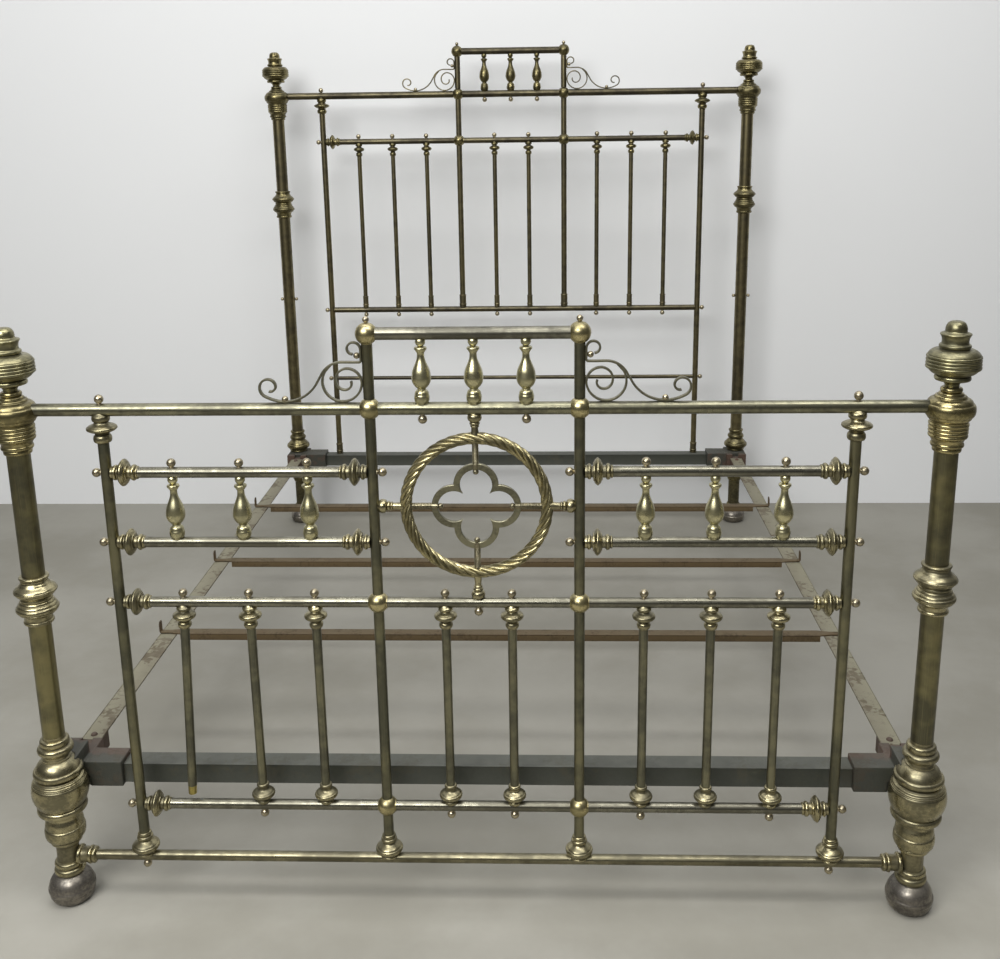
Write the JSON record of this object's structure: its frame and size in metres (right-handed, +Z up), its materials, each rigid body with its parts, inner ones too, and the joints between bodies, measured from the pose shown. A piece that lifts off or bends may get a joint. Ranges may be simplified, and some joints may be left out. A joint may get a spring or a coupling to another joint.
{
  "type": "bedstead",
  "caption": "Brass and iron bedstead: tube ends with ball posts, scrolls, vase spindles and a rope ring, on angle-iron side rails with cross laths.",
  "frame": {"origin": "on the floor, under the middle of the bed", "axes": "+X across the bed to the right seen from the foot end, +Y from the foot end to the head end, +Z up"},
  "size_m": [1.624, 2.0253, 1.6246],
  "materials": {
    "brass": "old lacquered brass tube, olive brown with worn bright places",
    "bright_brass": "cast brass finials, yellow and lightly tarnished",
    "painted_iron": "dark grey-green painted angle iron",
    "rusty_casting": "rough rusty brown casting",
    "worn_rail": "flaking grey-beige paint over iron",
    "lath_iron": "thin angle iron, dusty above and rusty brown in front"
  },
  "bodies": {
    "ends": {"foot_baluster_1": "brass", "foot_baluster_2": "brass", "foot_baluster_3": "brass", "foot_baluster_4": "brass", "foot_baluster_5": "brass", "foot_baluster_6": "brass", "foot_baluster_7": "brass", "foot_baluster_8": "brass", "foot_bottom_rail": "brass", "foot_corner_block_left": "rusty_casting", "foot_corner_block_right": "rusty_casting", "foot_crest": "brass", "foot_cross_bar": "painted_iron", "foot_end_bar_left": "brass", "foot_end_bar_right": "brass", "foot_finial_left": "bright_brass", "foot_finial_right": "bright_brass", "foot_gallery_left": "brass", "foot_gallery_right": "brass", "foot_lower_rail": "brass", "foot_lower_upright_left": "brass", "foot_lower_upright_right": "brass", "foot_middle_rail": "brass", "foot_post_left": "brass", "foot_post_right": "brass", "foot_scroll_left": "brass", "foot_scroll_right": "brass", "foot_top_rail": "brass", "foot_upper_upright_left": "brass", "foot_upper_upright_right": "brass", "foot_upright_base_left": "brass", "foot_upright_base_right": "brass", "head_corner_block_left": "rusty_casting", "head_corner_block_right": "rusty_casting", "head_crest": "brass", "head_cross_bar": "painted_iron", "head_end_bar_left": "brass", "head_end_bar_right": "brass", "head_finial_left": "bright_brass", "head_finial_right": "bright_brass", "head_grille": "brass", "head_lower_upright_left": "brass", "head_lower_upright_right": "brass", "head_post_left": "brass", "head_post_right": "brass", "head_scroll_left": "brass", "head_scroll_right": "brass", "head_thin_rail": "brass", "head_top_rail": "brass", "head_upper_rail": "brass", "head_upper_upright_left": "brass", "head_upper_upright_right": "brass", "quatrefoil": "brass", "rope_ring": "brass"},
    "left_rail": {"side_rail_left": "worn_rail"},
    "right_rail": {"side_rail_right": "worn_rail"},
    "foot_lath": {"lath_foot": "lath_iron"},
    "middle_lath": {"lath_middle": "lath_iron"},
    "head_lath": {"lath_head": "lath_iron"}
  },
  "joints": [
    {"name": "left_rail_lift", "type": "slide", "parent": "ends", "child": "left_rail", "axis": [0, 0, 1], "range_m": [0, 0.08]},
    {"name": "right_rail_lift", "type": "slide", "parent": "ends", "child": "right_rail", "axis": [0, 0, 1], "range_m": [0, 0.08]},
    {"name": "foot_lath_lift", "type": "slide", "parent": "left_rail", "child": "foot_lath", "axis": [0, 0, 1], "range_m": [0, 0.08]},
    {"name": "middle_lath_lift", "type": "slide", "parent": "left_rail", "child": "middle_lath", "axis": [0, 0, 1], "range_m": [0, 0.08]},
    {"name": "head_lath_lift", "type": "slide", "parent": "left_rail", "child": "head_lath", "axis": [0, 0, 1], "range_m": [0, 0.08]}
  ],
  "couplings": [
    {"joint": "right_rail_lift", "follows": "left_rail_lift", "ratio": 1}
  ]
}
